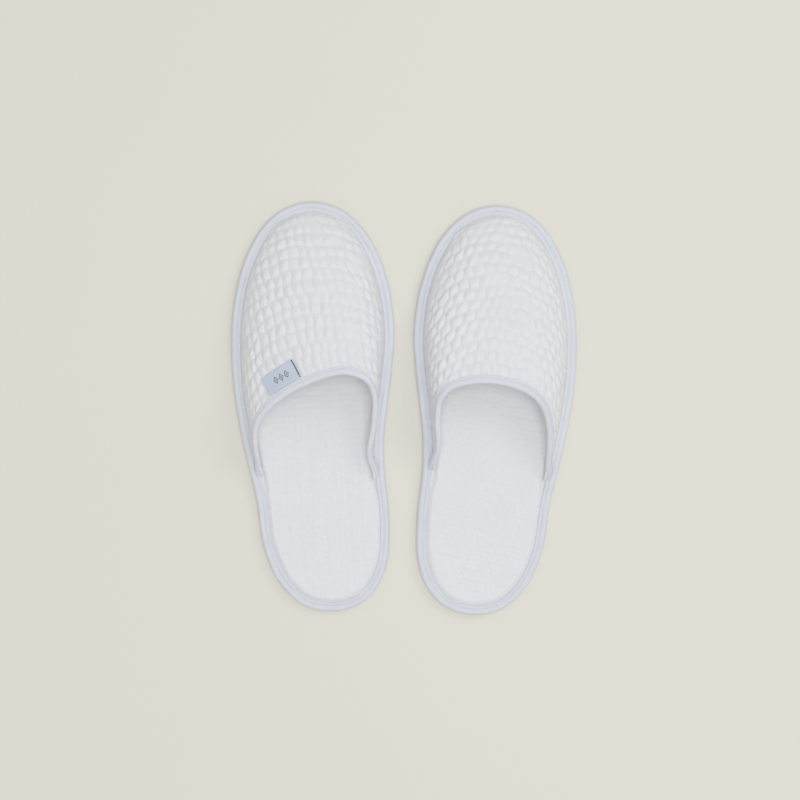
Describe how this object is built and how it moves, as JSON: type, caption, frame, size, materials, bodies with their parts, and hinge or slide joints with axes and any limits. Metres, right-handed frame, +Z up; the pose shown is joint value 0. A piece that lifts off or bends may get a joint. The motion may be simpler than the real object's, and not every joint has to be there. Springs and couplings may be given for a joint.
{
  "type": "spa slippers",
  "caption": "Closed-toe, open-heel padded cloth slippers lying side by side: quilted waffle upper, bound edges, flat foam outsole, small woven label at one throat.",
  "frame": {"origin": "on the floor under the middle of the pair's bounding box", "axes": "+Z up; +Y from the heels to the toes; +X from the left slipper to the right one, as the wearer stands in them"},
  "size_m": [0.2398, 0.2868, 0.0497],
  "materials": {
    "waffle_cloth": "matt, waffle-woven cotton",
    "binding_tape": "matt twill tape",
    "sewing_thread": "polyester thread, slight sheen",
    "lining_cloth": "matt brushed cloth",
    "padding_foam": "matt open-cell foam",
    "fibreboard": "matt pressed fibre",
    "sole_foam": "matt moulded foam",
    "label_satin": "woven satin, slight sheen"
  },
  "bodies": {
    "left_slipper": {"left_outsole": "sole_foam", "left_insole_board": "fibreboard", "left_insole_foam": "padding_foam", "left_insole_cover": "waffle_cloth", "left_upper_cloth": "waffle_cloth", "left_upper_foam": "padding_foam", "left_upper_lining": "lining_cloth", "left_sole_binding": "binding_tape", "left_throat_binding": "binding_tape", "left_sole_needle_thread": "sewing_thread", "left_sole_bobbin_thread": "sewing_thread", "left_throat_needle_thread": "sewing_thread", "left_throat_bobbin_thread": "sewing_thread"},
    "right_slipper": {"right_outsole": "sole_foam", "right_insole_board": "fibreboard", "right_insole_foam": "padding_foam", "right_insole_cover": "waffle_cloth", "right_upper_cloth": "waffle_cloth", "right_upper_foam": "padding_foam", "right_upper_lining": "lining_cloth", "right_sole_binding": "binding_tape", "right_throat_binding": "binding_tape", "right_sole_needle_thread": "sewing_thread", "right_sole_bobbin_thread": "sewing_thread", "right_throat_needle_thread": "sewing_thread", "right_throat_bobbin_thread": "sewing_thread"},
    "label": {"left_woven_label": "label_satin"}
  },
  "joints": [
    {"name": "right_slipper_lift", "type": "slide", "parent": "left_slipper", "child": "right_slipper", "axis": [0, 0, 1], "range_m": [0, 0.15]},
    {"name": "label_lift", "type": "hinge", "parent": "left_slipper", "child": "label", "pos_m": [-0.08133, 0.01594, 0.04365], "axis": [0.8257, 0.499, 0.2631], "range_deg": [0, 135]}
  ]
}
